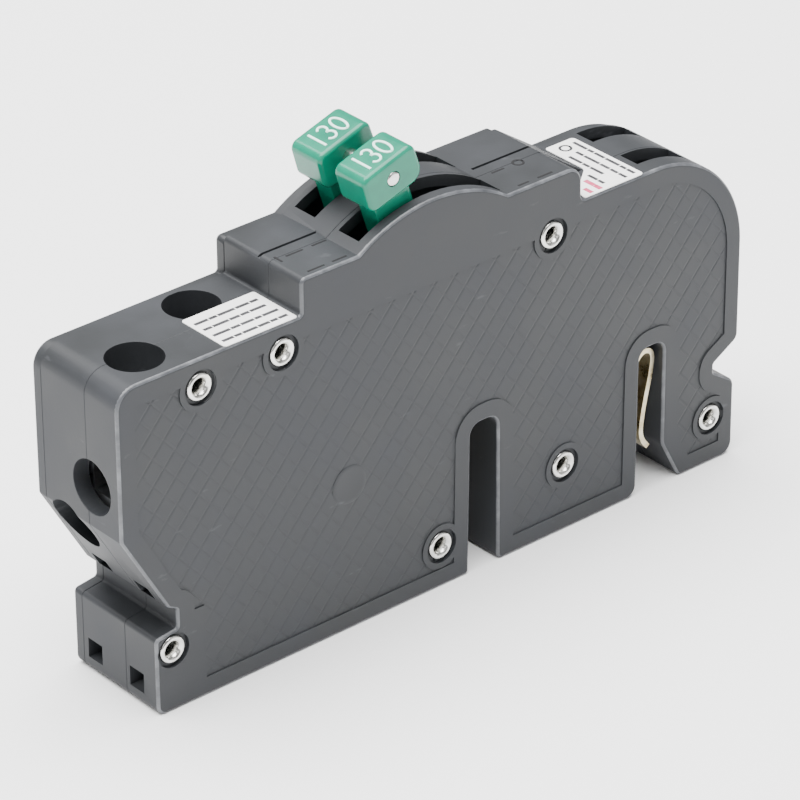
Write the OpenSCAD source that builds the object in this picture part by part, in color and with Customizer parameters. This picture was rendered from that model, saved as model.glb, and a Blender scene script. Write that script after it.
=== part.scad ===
// Two-pole plug-in circuit breaker of the thin series, as an assembly of its separate pieces.
// X runs from the terminal end (-) to the jaw end (+), Y across the two poles, Z up.
// The origin is under the middle of the body, on the surface that the breaker stands on.
// Piece modules are drawn for one pole, with y = 0 on that pole's near face; at_pole() places them.

/* [Body] */
// Width of one pole
pole_w = 9.525; // [9.5:0.005:9.6]
// Length of the body from end to end
body_len = 117.4; // [117.2:0.1:117.8]
// Height of the top plane
top_z = 54.3; // [54:0.1:54.6]
// Height of the raised shoulders beside the handles
shoulder_z = 60; // [59.5:0.1:60.5]
// Radius of the dome that the handles swing over
dome_r = 25; // [24.8:0.1:25.2]
// How much lower the far cover's top edges are
far_drop = 0.5; // [0.3:0.1:0.6]
// Thickness of the near cover
near_t = 7.2; // [7.1:0.1:7.3]
// Thickness of the far cover
far_t = 2.05; // [2.0:0.05:2.1]
// Wall thickness of the moulded shells
wall = 1.3; // [1.2:0.05:1.4]

/* [Handle] */
// Lean of the handles at rest, towards the terminal end
handle_lean = 17.7; // [15:0.1:20]
// Height of the handle cap's top above the handle pivot
cap_top = 34; // [33.5:0.1:34.5]
// Height of the handle cap
cap_h = 6.1; // [5.8:0.1:6.4]
// Width of each cap across the pole
cap_w = 6.6; // [6.2:0.1:6.8]

/* [Contacts] */
// Lift of the contact arm when the breaker is off, in degrees
arm_lift = 12; // [10:0.5:12]
// Radius of the contact buttons
button_r = 1.5; // [1.3:0.1:1.6]
// Number of arc plates
plate_n = 7; // [5:1:7]

/* [Terminals] */
// Radius of the round screw access holes
access_r = 4.2; // [4.0:0.1:4.3]
// Radius of the round wire entries
wire_r = 4.2; // [4.0:0.1:4.2]
// Radius of the clamp screws
screw_r = 3; // [2.8:0.1:3.1]

/* [Hidden] */
$fn = 64;
half_len = body_len / 2;
half_w = pole_w;
seam_near = near_t - half_w;
seam_far = half_w - far_t;
fit = 0.05;

// Pole-local y of the mechanism chamber's two walls, and of the blind bores in them
chamber_y = [wall, 8.3];
blind_y = [0.5, 9.1];

// Handle slot, handle stem and arc vent, pole-local
slot_y = [2.0, 6.4];
slot_x = [-14.3, 12.0];
stem_y = [2.35, 6.05];
vent_y = [3.1, 6.8];
vent_x = [39.8, 49.5];
cap_y0 = 1.1;

dome = [-2, 39.2];
handle_pivot = [0.5, 39.5];
arm_pivot = [6.5, 31.5];
cradle_pivot = [16.5, 45.5];
armature_pivot = [-21.4, 42];
trip_axis = [-15, 20.5];
contact_x = 29.2;
contact_z = 27;
tie_u = 31;
tie_v = 0.3;
tie_r = 1.15;

// Jaw end of the shoulder on the near cover, and on the other two shells
square_shoulder = [26, 26, 2.6];
sloped_shoulder = [24.2, 32.5, 0.8];

// Busbar slots: left and right side of each, and their height
slot_a = [4.9, 10.1];
slot_b = [38.3, 43.3];
slot_top = 24.8;
clip_x = [41, 7.5];

rivets = [[-44.3, 49.8], [-29.7, 49.8], [20.5, 50.5], [-50.4, 9.9], [-0.8, 6.8], [23.3, 11.1], [53.3, 7.7]];
rivet_hole_r = 1.3;
rivet_head_r = 2.2;
recess_r = 2.75;
recess_d = 0.6;
rivet_head_t = 0.55;

// Terminals: x and y of the lug, height of the wire's axis, height of the chamber floor and roof
near_term = [-50.6, -3.2, 36.8, 32, 46.6];
far_term = [-35.6, 3.2, 27.4, 21.6, 37.3];
lug_len = 10;
lug_w = 9.2;
lug_gap = 0.4;

// ---- helpers ----

// Vertices of the side outline, clockwise seen from the near side: x, z, corner radius.
// shoulder holds the shoulder's jaw end: x at its top, x at its foot, radius at its top
function outline(drop, shoulder) = [
  [-53.4, 0, 1.5], [-53.4, 12.6, 0.8], [-49.5, 13.1, 0.5], [-49.5, 16.2, 0.4], [-51, 17, 0.8],
  [-half_len, 30.5, 0.8], [-half_len, top_z - drop, 3.4],
  [-26.3, top_z - drop, 0.5], [-26.3, shoulder_z - drop, 0.9], each dome_corners(drop),
  [shoulder[0], shoulder_z - drop, shoulder[2]], [shoulder[1], top_z - drop, 0.8],
  [half_len, top_z - drop, 18], [half_len, 19.7, 1.6],
  [53.8, 16.9, 0.5], [53.8, 15.4, 0.5], [58.1, 12.6, 1.6], [58.1, 0, 2], [46.9, 0, 1.2],
  [slot_b[1], 7, 2.5], [slot_b[1], slot_top, 1.8], [slot_b[0], slot_top, 1.8], [slot_b[0] - 0.2, 0, 2],
  [slot_a[1] + 0.1, 0, 0.9], [slot_a[1], slot_top, 1.9], [slot_a[0], slot_top, 1.9],
  [slot_a[0] - 0.4, 0, 0.6]
];

// The dome as three vertices: its two feet on the shoulders, and where its tangents there cross
function dome_corners(drop) =
  let (
    r = dome_r - drop,
    base = shoulder_z - drop,
    foot_x = sqrt(r * r - pow(base - dome[1], 2)),
    apex = base + foot_x * foot_x / (base - dome[1])
  )
  [[dome[0] - foot_x, base, 0.1], [dome[0], apex, r - 0.1], [dome[0] + foot_x, base, 0.1]];

function at(list, i) = list[(i + len(list)) % len(list)];
function flat(v) = [v[0], v[1]];
function unit(v) = v / norm(v);
function inward(a, b) = let (d = unit(flat(b) - flat(a))) [d[1], -d[0]];

// Moves every side of a clockwise outline inwards by t, and its corner radii with it
function inset(pts, t) = [
  for (i = [0 : len(pts) - 1])
    let (
      n1 = inward(at(pts, i - 1), pts[i]),
      n2 = inward(pts[i], at(pts, i + 1)),
      turn = n1[0] * n2[1] - n1[1] * n2[0],
      p = flat(pts[i]) + t * (n1 + n2) / (1 + n1 * n2),
      r = turn < 0 ? max(pts[i][2] - t, 0.1) : pts[i][2] + t
    ) [p[0], p[1], r]
];

// Points of the arc that rounds vertex p between its neighbours a and b
function corner(a, p, b) =
  let (
    u = unit(flat(a) - flat(p)),
    v = unit(flat(b) - flat(p)),
    half_angle = acos(u * v) / 2,
    c = flat(p) + unit(u + v) * p[2] / sin(half_angle),
    s = flat(p) + u * p[2] / tan(half_angle) - c,
    e = flat(p) + v * p[2] / tan(half_angle) - c,
    a0 = atan2(s[1], s[0]),
    turn = atan2(s[0] * e[1] - s[1] * e[0], s * e),
    n = max(2, ceil(abs(turn) / (p[2] > 10 ? 4 : 12)))
  )
  [for (i = [0 : n]) c + p[2] * [cos(a0 + turn * i / n), sin(a0 + turn * i / n)]];

function rounded(pts) = [
  for (i = [0 : len(pts) - 1]) each corner(at(pts, i - 1), pts[i], at(pts, i + 1))
];

// Smooth curve through a list of points, with n steps between neighbours
function smooth(pts, n) =
  let (m = len(pts))
  [
    for (i = [0 : m - 2], k = [0 : n - 1])
      let (
        p0 = pts[max(i - 1, 0)], p1 = pts[i], p2 = pts[i + 1], p3 = pts[min(i + 2, m - 1)],
        t = k / n
      )
      0.5 * (2 * p1 + (p2 - p0) * t + (2 * p0 - 5 * p1 + 4 * p2 - p3) * t * t
             + (3 * p1 - p0 - 3 * p2 + p3) * t * t * t),
    pts[m - 1]
  ];

// Closed outline of a strip of thickness t that follows a path
function strip(path, t) =
  let (
    m = len(path),
    side = [for (i = [0 : m - 1]) inward(path[max(i - 1, 0)], path[min(i + 1, m - 1)]) * t / 2]
  )
  [for (i = [0 : m - 1]) path[i] + side[i], for (i = [m - 1 : -1 : 0]) path[i] - side[i]];

// Drawn in x and z, extruded along y
module slab(y0, y1) {
  translate([0, y1, 0]) rotate([90, 0, 0]) linear_extrude(y1 - y0) children();
}

module box(x, y, z) {
  translate([x[0], y[0], z[0]]) cube([x[1] - x[0], y[1] - y[0], z[1] - z[0]]);
}

module rod_y(p, r, y0, y1) {
  translate([p[0], y1, p[1]]) rotate([90, 0, 0]) cylinder(r = r, h = y1 - y0);
}

module rod_x(r, x0, x1, y, z) {
  translate([x0, y, z]) rotate([0, 90, 0]) cylinder(r = r, h = x1 - x0);
}

module rod_z(r, x, y, z0, z1) {
  translate([x, y, z0]) cylinder(r = r, h = z1 - z0);
}

module turn_y(p, angle) {
  translate([p[0], 0, p[1]]) rotate([0, angle, 0]) translate([-p[0], 0, -p[1]]) children();
}

module at_pole(i) {
  translate([0, (i - 1) * pole_w, 0]) children();
}

module both_poles() {
  for (i = [0, 1]) at_pole(i) children();
}

// ---- casing ----

module side_2d(t, drop, shoulder) {
  polygon(rounded(inset(outline(drop, shoulder), t)));
}

// The room for the mechanism, less the bosses round the rivets and the solid jaw-end foot
module chamber_2d() {
  difference() {
    intersection() {
      side_2d(wall, far_drop, square_shoulder);
      translate([-27.8, 0]) square([100, 70]);
    }
    for (p = rivets) translate(p) circle(r = rivet_hole_r + 1.4);
    translate([slot_b[1] + 0.5, 0]) square([20, 21]);
  }
}

module panel_2d() {
  difference() {
    intersection() {
      polygon(rounded(inset(outline(0, square_shoulder), 3)));
      translate([-half_len, 0]) square([body_len, 51]);
    }
    for (p = rivets) translate(p) circle(r = recess_r + 0.9);
    translate([-half_len, 0]) square([14, 15]);
  }
}

// Everything that passes through more than one of the three shells
module casing_cuts() {
  for (p = rivets) {
    rod_y(p, rivet_hole_r, -half_w - 1, half_w + 1);
    rod_y(p, recess_r, -half_w - 1, -half_w + recess_d);
    rod_y(p, recess_r, half_w - recess_d, half_w + 1);
  }
  // mechanism chambers, pins, handle slots, arc vents and the small foot holes
  both_poles() {
    slab(chamber_y[0], chamber_y[1]) chamber_2d();
    rod_y(handle_pivot, 2.4 + fit, blind_y[0], blind_y[1]);
    rod_y(arm_pivot, 1.2, blind_y[0], chamber_y[0] + 1);
    rod_y(cradle_pivot, 1.2, blind_y[0], blind_y[1]);
    rod_y(armature_pivot, 0.9, blind_y[0], blind_y[1]);
    box(slot_x, slot_y, [50, 70]);
    box(vent_x, vent_y, [46, 60]);
    box([-54, -50.5], [3.2, 6.4], [2.4, 5.6]);
    box([-54, -47.4], [2.9, 6.2], [16.9, 19.4]);
    // calibration screw
    rod_x(1.3, -30.9, -27, 4.8, 44);
  }
  rod_y(trip_axis, 1.37, -half_w + blind_y[0], blind_y[1]);
  // near terminal: lug room, strap way, screw access and wire entry
  terminal_cuts(near_term, -half_len - 1);
  box([-45.5, -27], [-half_w + 2.6, seam_near], [near_term[3] + 0.9, near_term[3] + 4]);
  // far terminal
  terminal_cuts(far_term, -half_len - 1);
  box([-30.8, -27], [2.6, 7.2], [far_term[3] + 0.9, far_term[3] + 4]);
  // line clips pass through the slot roofs
  for (i = [0, 1])
    at_pole(i) box([clip_x[i] - 0.6, clip_x[i] + 0.6], [2.2, 7], [slot_top - 1, slot_top + wall + 1]);
  // dividing groove between the poles on the two shoulders
  for (x = [[-27, -15.6], [13.2, 27]]) box(x, [-0.3, 0.2], [shoulder_z - 0.45, shoulder_z + 1]);
}

module terminal_cuts(t, x_out) {
  box([t[0] - lug_len / 2 - lug_gap, t[0] + lug_len / 2 + lug_gap],
      [t[1] - lug_w / 2 - 0.2, t[1] + lug_w / 2 + 0.2], [t[3], t[4]]);
  rod_z(access_r, t[0], t[1], t[4] - 1, top_z + 1);
  rod_x(wire_r, x_out, t[0] - lug_len / 2, t[1], t[2]);
}

module near_cover() color("#5f6266") {
  difference() {
    slab(-half_w, seam_near) side_2d(0, 0, square_shoulder);
    casing_cuts();
    slab(-half_w - 1, -half_w + 0.2) panel_2d();
  }
}

module centre_case() color("#63666a") {
  difference() {
    slab(seam_near, seam_far) side_2d(0, 0, sloped_shoulder);
    casing_cuts();
  }
}

module far_cover() color("#5f6266") {
  difference() {
    slab(seam_far, half_w) side_2d(0, far_drop, sloped_shoulder);
    casing_cuts();
    slab(half_w - 0.2, half_w + 1) panel_2d();
  }
}

// Hollow eyelet rivet: a preformed head on the near side and a rolled head on the far side
module rivet() {
  bore_r = 0.9;
  h = half_w - recess_d;
  top = h + rivet_head_t;
  half_profile = [[bore_r, top - 0.25], [bore_r + 0.25, top], [rivet_head_r - 0.3, top], [rivet_head_r, top - 0.3],
                  [rivet_head_r, h], [rivet_hole_r - fit, h]];
  profile = concat(half_profile, [for (i = [len(half_profile) - 1 : -1 : 0]) [half_profile[i][0], -half_profile[i][1]]]);
  rotate([90, 0, 0]) rotate_extrude() polygon(profile);
}

module rivets() color("#d8d8d4") {
  for (p = rivets) translate([p[0], 0, p[1]]) rivet();
}

// ---- handles ----

// Drawn upright about the handle pivot
module cap_2d() {
  r = 1.3;
  polygon(rounded([[-4.9, cap_top - cap_h, 1.1], [-4.7, cap_top, r], [5.2, cap_top, r], [5.4, cap_top - cap_h, 2.2]]));
}

module handle() {
  difference() {
    turn_y(handle_pivot, -handle_lean) union() {
      translate([0, 0, handle_pivot[1]]) {
        translate([handle_pivot[0], 0, 0]) slab(cap_y0, cap_y0 + cap_w) cap_2d();
        translate([handle_pivot[0], 0, 0]) slab(stem_y[0], stem_y[1])
          polygon([[-3.2, 0], [-3.5, cap_top - 4], [3.2, cap_top - 4], [2.9, 0]]);
      }
      rod_y(handle_pivot, 6.3, stem_y[0], stem_y[1]);
      rod_y(handle_pivot, 2.4, blind_y[0] + 0.1, blind_y[1] - 0.1);
    }
    tie_axis() cylinder(r = tie_r, h = 2 * half_w, center = true);
  }
}

// Axis of the tie pin, on either pole's handle
module tie_axis() {
  turn_y(handle_pivot, -handle_lean)
    translate([handle_pivot[0] + tie_v, 0, handle_pivot[1] + tie_u]) rotate([90, 0, 0]) children();
}

module near_handle() color("#0a8a6c") { at_pole(0) handle(); }

module far_handle() color("#0a8a6c") { at_pole(1) handle(); }

module handle_tie_pin() color("#e4e4e0") {
  pin_y = [-half_w + cap_y0 - 0.15, cap_y0 + cap_w + 0.15];
  turn_y(handle_pivot, -handle_lean)
    rod_y(handle_pivot + [tie_v, tie_u], tie_r, pin_y[0], pin_y[1]);
}

// ---- contacts ----

// Spring jaw that grips a busbar stab, its stem and the strap up to the fixed contact
module line_clip(x, strap) {
  jaw = smooth([[-1.95, 6.6], [-1.95, 12], [-1.95, 20.5], [-1.5, 22.4], [0, 23.2], [1.35, 22.2],
                [1.1, 19], [0.2, 15], [-0.35, 12], [-0.6, 9.6], [-0.2, 7.9], [0.9, 6.4]], 4);
  slab(1.7, 7.5) polygon(strip([for (p = jaw) p + [x, 0]], 0.8));
  box([x - 0.5, x + 0.5], [2.4, 6.8], [22.8, 27]);
  slab(2.2, 6.2) polygon(strap);
}

near_line_strap = [[26.5, 24.6], [26.5, 25.8], [34.6, 25.8], [35.6, 27.8], [45, 27.8], [45, 26.6],
                   [36.3, 26.6], [35.3, 24.6]];
far_line_strap = [[6.7, 26.6], [6.7, 27.8], [12.8, 27.8], [14.8, 25.8], [32, 25.8], [32, 24.6], [14.3, 24.6],
                  [12.3, 26.6]];

module near_line_clip() color("#b8a06a") { at_pole(0) line_clip(clip_x[0], near_line_strap); }

module far_line_clip() color("#b8a06a") { at_pole(1) line_clip(clip_x[1], far_line_strap); }

module fixed_contact() {
  rod_z(button_r, contact_x, 4.2, contact_z - 1.2, contact_z - 0.1);
}

module near_fixed_contact() color("#d9dadb") { at_pole(0) fixed_contact(); }

module far_fixed_contact() color("#d9dadb") { at_pole(1) fixed_contact(); }

module lifted() {
  turn_y(arm_pivot, -arm_lift) children();
}

module contact_arm() {
  difference() {
    lifted() union() {
      slab(3.4, 5) polygon([[6.5, 34.4], [12, 33.2], [27, 30.6], [31.6, 30.4], [31.6, contact_z + 1.2],
                            [27, contact_z + 1.2], [13, 29.4], [6.5, 28.6]]);
      rod_y(arm_pivot, 3, 3, 5.4);
      // tail with a tongue for the spring's hook
      slab(3.4, 5) polygon([[4.6, 33.6], [1.9, 31.4], [1.5, 30], [2.4, 29.4], [5.2, 29]]);
    }
    rod_y(arm_pivot, 1.2 + fit, 0, pole_w);
  }
}

module near_contact_arm() color("#b87348") { at_pole(0) contact_arm(); }

module far_contact_arm() color("#b87348") { at_pole(1) contact_arm(); }

module moving_contact() {
  lifted() rod_z(button_r, contact_x, 4.2, contact_z, contact_z + 1.2);
}

module near_moving_contact() color("#d9dadb") { at_pole(0) moving_contact(); }

module far_moving_contact() color("#d9dadb") { at_pole(1) moving_contact(); }

module arm_pins() color("#c9cac8") {
  both_poles() rod_y(arm_pivot, 1.2, blind_y[0], 6.3);
}

// Tension spring as a swept coil, between the cradle and the tail of the arm
spring_turns = 11;
spring_steps = 10;
spring_r = 1.4;
spring_wire = 0.25;
spring_span = [-9.4, 0.8];
spring_line = [4.4, 29.6];

function coil_point(i) =
  let (turn = i / spring_steps, f = turn / spring_turns)
  [spring_span[0] + f * (spring_span[1] - spring_span[0]), spring_r * cos(360 * turn), spring_r * sin(360 * turn)];

module toggle_spring() {
  n = spring_turns * spring_steps;
  sides = 6;
  rings = [
    for (i = [0 : n])
      let (p = coil_point(i), out = unit([0, p[1], p[2]]))
      for (k = [0 : sides - 1])
        p + spring_wire * (cos(360 * k / sides) * out + sin(360 * k / sides) * [1, 0, 0])
  ];
  walls = [
    for (i = [0 : n - 1], k = [0 : sides - 1])
      let (a = i * sides + k, b = i * sides + (k + 1) % sides) [a, a + sides, b + sides, b]
  ];
  ends = [[for (k = [0 : sides - 1]) k], [for (k = [sides - 1 : -1 : 0]) n * sides + k]];
  translate([0, spring_line[0], spring_line[1]])
    polyhedron(points = rings, faces = concat(walls, ends), convexity = 10);
}

module near_toggle_spring() color("#8f9294") { at_pole(0) toggle_spring(); }

module far_toggle_spring() color("#8f9294") { at_pole(1) toggle_spring(); }

// ---- trip gear ----

module cradle() {
  difference() {
    union() {
      slab(6.7, 7.8) polygon([[13.6, 46.2], [8, 35.8], [-4, 34], [-15, 34.2], [-19.5, 33.8], [-19.5, 32.6],
                              [-15, 31.5], [-4, 30], [11.5, 31.5], [18, 42.8], [19.3, 44.6]]);
      rod_y(cradle_pivot, 3, 6.5, 8);
    }
    rod_y(cradle_pivot, 1.2 + fit, 0, pole_w);
    rod_y([-9, 32], 0.6, 0, pole_w);
  }
}

module near_cradle() color("#a7a9aa") { at_pole(0) cradle(); }

module far_cradle() color("#a7a9aa") { at_pole(1) cradle(); }

module cradle_pins() color("#c9cac8") {
  both_poles() rod_y(cradle_pivot, 1.2, blind_y[0], blind_y[1]);
}

// One shaft through both poles, with a finger under each cradle
module trip_bar() color("#d8cfae") {
  rod_y(trip_axis, 1.3, -half_w + blind_y[0] + 0.1, blind_y[1] - 0.1);
  both_poles() {
    box([trip_axis[0] - 0.6, trip_axis[0] + 0.6], [2.2, 6.2], [trip_axis[1], trip_axis[1] + 4.6]);
    rod_y(trip_axis, 1.9, 2, 6.4);
  }
}

module bimetal() {
  box([-24.9, -24.1], [3.2, 6.4], [17, 46.4]);
}

module near_bimetal() color("#c8b27a") { at_pole(0) bimetal(); }

module far_bimetal() color("#c8b27a") { at_pole(1) bimetal(); }

module magnet_yoke() {
  difference() {
    box([-25.7, -23.2], [1.9, 7.7], [21, 31]);
    box([-24.9, -23], [2.8, 6.8], [20, 32]);
  }
}

module near_magnet_yoke() color("#7d8083") { at_pole(0) magnet_yoke(); }

module far_magnet_yoke() color("#7d8083") { at_pole(1) magnet_yoke(); }

module armature() {
  p = armature_pivot;
  difference() {
    union() {
      box([p[0] - 0.5, p[0] + 0.5], [2, 7.6], [19, p[1]]);
      // latch ledge just short of the cradle's tip
      box([p[0], p[0] + 1.5], [6.2, 7.6], [31.4, 32.3]);
      rod_y(p, 1.6, 2.6, 7);
    }
    rod_y(p, 0.9 + fit, 0, pole_w);
    box([p[0] - 1, p[0] + 1], [3.6, 6], [34, 38]);
  }
}

module near_armature() color("#8f9294") { at_pole(0) armature(); }

module far_armature() color("#8f9294") { at_pole(1) armature(); }

module armature_pins() color("#c9cac8") {
  both_poles() rod_y(armature_pivot, 0.9, blind_y[0], blind_y[1]);
}

module calibration_screws() color("#c9b072") {
  both_poles() difference() {
    rod_x(1.3, -30.9, -27.5, 4.8, 44);
    box([-31.2, -30.4], [4.5, 5.1], [42, 46]);
  }
}

// ---- load side ----

module braid() {
  path = smooth([[-24.5, 17], [-24.3, 15.9], [-22.5, 14.8], [-15, 15.2], [-7, 19.2], [0, 24.4], [4.3, 27.5]], 5);
  slab(3.3, 6.1) polygon(strip(path, 1.1));
}

module near_braid() color("#b06f45") { at_pole(0) braid(); }

module far_braid() color("#b06f45") { at_pole(1) braid(); }

// From the tongue under the wire in the lug, up to the bimetal's head
module load_strap(tongue_x, z) {
  t = 0.8;
  slab(3.3, 6.3) {
    translate([tongue_x, z]) square([-26.7 - tongue_x, t]);
    translate([-27.5, z]) square([t, 47.2 - z]);
    translate([-27.5, 47.2 - t]) square([3.6, t]);
  }
}

module near_load_strap() color("#b8754a") { at_pole(0) load_strap(-55.2, near_term[3] + 1.7); }

module far_load_strap() color("#b8754a") { at_pole(1) load_strap(-40.2, far_term[3] + 1.7); }

// Square collar with a wire window along x and a threaded bore down to it
module terminal_lug(t) {
  floor_t = 1.4;
  difference() {
    box([t[0] - lug_len / 2, t[0] + lug_len / 2], [t[1] - lug_w / 2, t[1] + lug_w / 2], [t[3] + 0.3, t[4] - 0.4]);
    box([t[0] - lug_len, t[0] + lug_len], [t[1] - lug_w / 2 + 1, t[1] + lug_w / 2 - 1],
        [t[3] + 0.3 + floor_t, t[4] - 4.6]);
    rod_z(screw_r + fit, t[0], t[1], t[4] - 5, t[4]);
  }
}

module near_terminal_lug() color("#b9bbbc") { terminal_lug(near_term); }

module far_terminal_lug() color("#b9bbbc") { terminal_lug(far_term); }

module clamp_screw(t) {
  top = t[4] - 0.15;
  difference() {
    rod_z(screw_r, t[0], t[1], t[4] - 5, top);
    box([t[0] - screw_r - 1, t[0] + screw_r + 1], [t[1] - 0.5, t[1] + 0.5], [top - 1.4, top + 1]);
  }
}

module near_clamp_screw() color("#c4c5c3") { clamp_screw(near_term); }

module far_clamp_screw() color("#c4c5c3") { clamp_screw(far_term); }

module clamp_pad(t) {
  box([t[0] - 3.6, t[0] + 3.6], [t[1] - 3.3, t[1] + 3.3], [t[4] - 6, t[4] - 5]);
}

module near_clamp_pad() color("#b0b2b3") { clamp_pad(near_term); }

module far_clamp_pad() color("#b0b2b3") { clamp_pad(far_term); }

// ---- arc chute ----

module arc_chute() {
  x = [34.5, 50];
  card = [1.4, 1.9];
  pitch = 2.7;
  for (i = [0 : plate_n - 1])
    translate([0, 0, 29.5 + pitch * i]) linear_extrude(0.9)
      polygon([[x[0], card[1]], [x[0], 2.7], [x[0] + 6, 4.2], [x[0] + 6, 5.4], [x[0], 6.9], [x[0], 7.7],
               [x[1], 7.7], [x[1], card[1]]]);
  for (y = [card, [7.7, 8.2]]) box(x, y, [28.8, 30.6 + pitch * (plate_n - 1)]);
}

module near_arc_chute() color("#6f6a62") { at_pole(0) arc_chute(); }

module far_arc_chute() color("#6f6a62") { at_pole(1) arc_chute(); }

// ---- labels ----

label_t = 0.12;

module label(pts) {
  translate([0, 0, top_z]) linear_extrude(label_t) polygon(rounded([for (p = pts) [p[0], p[1], p[2]]]));
}

module terminal_label() color("#f2f2f0") {
  difference() {
    label([[-39.8, -9.3, 0.6], [-39.8, 0.3, 0.6], [-26.9, 0.3, 0.4], [-26.9, -9.3, 0.4]]);
    rod_z(access_r + 0.1, far_term[0], far_term[1], top_z - 1, top_z + 1);
  }
}

// Its edge follows the feet of the two different shoulder ends
module rating_label() color("#f2f2f0") {
  label([[26.6, -9.3, 0.4], [27.4, -7, 3], [32.8, -2.6, 1.5], [32.8, 6, 0.5], [38.4, 6, 0.6], [38.4, -9.3, 0.6]]);
}

near_cover();
centre_case();
far_cover();
rivets();
near_handle();
far_handle();
handle_tie_pin();
near_line_clip();
far_line_clip();
near_fixed_contact();
far_fixed_contact();
near_contact_arm();
far_contact_arm();
near_moving_contact();
far_moving_contact();
arm_pins();
near_toggle_spring();
far_toggle_spring();
near_cradle();
far_cradle();
cradle_pins();
trip_bar();
near_bimetal();
far_bimetal();
near_magnet_yoke();
far_magnet_yoke();
near_armature();
far_armature();
armature_pins();
calibration_screws();
near_braid();
far_braid();
near_load_strap();
far_load_strap();
near_terminal_lug();
far_terminal_lug();
near_clamp_screw();
far_clamp_screw();
near_clamp_pad();
far_clamp_pad();
near_arc_chute();
far_arc_chute();
terminal_label();
rating_label();
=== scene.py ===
"""Two-pole plug-in breaker: moulded shells, tied toggles, eyelets, busbar jaws, screw terminals."""

import math

import bmesh
import bpy
from mathutils import Matrix, Vector


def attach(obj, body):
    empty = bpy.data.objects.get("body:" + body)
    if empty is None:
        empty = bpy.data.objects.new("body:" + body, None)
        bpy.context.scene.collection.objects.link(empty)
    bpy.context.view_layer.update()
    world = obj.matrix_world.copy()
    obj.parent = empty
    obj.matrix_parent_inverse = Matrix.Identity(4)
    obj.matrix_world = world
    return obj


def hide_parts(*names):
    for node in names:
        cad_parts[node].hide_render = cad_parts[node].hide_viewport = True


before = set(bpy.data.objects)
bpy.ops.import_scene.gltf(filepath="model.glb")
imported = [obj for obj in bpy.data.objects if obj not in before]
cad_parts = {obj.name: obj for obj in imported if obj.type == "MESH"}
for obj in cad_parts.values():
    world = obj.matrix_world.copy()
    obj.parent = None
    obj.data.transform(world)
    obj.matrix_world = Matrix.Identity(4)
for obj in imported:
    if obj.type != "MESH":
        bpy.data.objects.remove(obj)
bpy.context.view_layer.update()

bl_info = {
    "name": "Two-pole plug-in breaker",
    "version": (1, 0, 0),
    "blender": (4, 5, 0),
    "location": "3D View > Sidebar > Breaker",
    "description": "Builds the visible pieces of a thin two-pole plug-in breaker",
    "category": "Object",
}

MM = 0.001

# ---- sizes that the pieces share, in millimetres ----

NEAR_FACE, FAR_FACE = -9.525, 9.525
NEAR_SEAM, FAR_SEAM = -2.325, 7.475
TOP, SHOULDER, HALF_LENGTH = 54.3, 60.0, 58.7
DOME_X, DOME_Z, DOME_R = -2.0, 39.2, 25.0
FAR_DROP = 0.5
SQUARE_SHOULDER = (26.0, 26.0, 2.6)
SLOPED_SHOULDER = (24.2, 32.5, 0.8)
POLES = (NEAR_FACE, 0.0)
PANEL_DEPTH = 0.2
HANDLE_PIVOT = (0.5, 39.5)
HANDLE_LEAN = 17.7
CAP_Y, CAP_W, CAP_TOP = 1.1, 6.6, 34
STEM_Y = (2.35, 6.05)
HUB_R, TRUNNION_R, TRUNNION_Y = 6.3, 2.4, (0.6, 9.0)
TIE_AT = (0.3, 31.0)
TIE_R, TIE_PROUD, TIE_CLEARANCE = 1.15, 0.15, 0.02
NEAR_SCREW_HOLE, FAR_SCREW_HOLE, HOLE_R = (-50.6, -3.2), (-35.6, 3.2), 4.2
NEAR_WIRE_Z = 36.8
RIVETS = ((-44.3, 49.8), (-29.7, 49.8), (20.5, 50.5), (-50.4, 9.9), (-0.8, 6.8), (23.3, 11.1),
          (53.3, 7.7))
RIM_RADIUS = 0.25
GATE_AT = (-18, 24)
LABEL_THICKNESS, PRINT_HEIGHT = 0.12, 0.012

# Diamond pattern: slope of the lines, their offset, how far they reach and half a groove's width
KNURL_SLOPE, KNURL_OFFSET, KNURL_REACH, GROOVE_HALF_WIDTH = 0.9, 0.37, 90, 0.3

WELD_M = 2e-6  # vertices closer than this are joined


# ---- outlines, the same construction as the mouldings themselves ----


def dome_corners(drop):
    r, base = DOME_R - drop, SHOULDER - drop
    foot = math.sqrt(r * r - (base - DOME_Z) ** 2)
    apex = base + foot * foot / (base - DOME_Z)
    return [(DOME_X - foot, base, 0.1), (DOME_X, apex, r - 0.1), (DOME_X + foot, base, 0.1)]


def outline(drop, shoulder):
    """Side outline as vertices of x, z and corner radius, clockwise seen from the near side."""
    return [
        (-53.4, 0, 1.5), (-53.4, 12.6, 0.8), (-49.5, 13.1, 0.5), (-49.5, 16.2, 0.4), (-51, 17, 0.8),
        (-HALF_LENGTH, 30.5, 0.8), (-HALF_LENGTH, TOP - drop, 3.4),
        (-26.3, TOP - drop, 0.5), (-26.3, SHOULDER - drop, 0.9),
        *dome_corners(drop),
        (shoulder[0], SHOULDER - drop, shoulder[2]), (shoulder[1], TOP - drop, 0.8),
        (HALF_LENGTH, TOP - drop, 18), (HALF_LENGTH, 19.7, 1.6),
        (53.8, 16.9, 0.5), (53.8, 15.4, 0.5), (58.1, 12.6, 1.6), (58.1, 0, 2), (46.9, 0, 1.2),
        (43.3, 7, 2.5), (43.3, 24.8, 1.8), (38.3, 24.8, 1.8), (38.1, 0, 2),
        (10.2, 0, 0.9), (10.1, 24.8, 1.9), (4.9, 24.8, 1.9), (4.5, 0, 0.6),
    ]


def inward(a, b):
    d = (Vector(b[:2]) - Vector(a[:2])).normalized()
    return Vector((d.y, -d.x))


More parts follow.
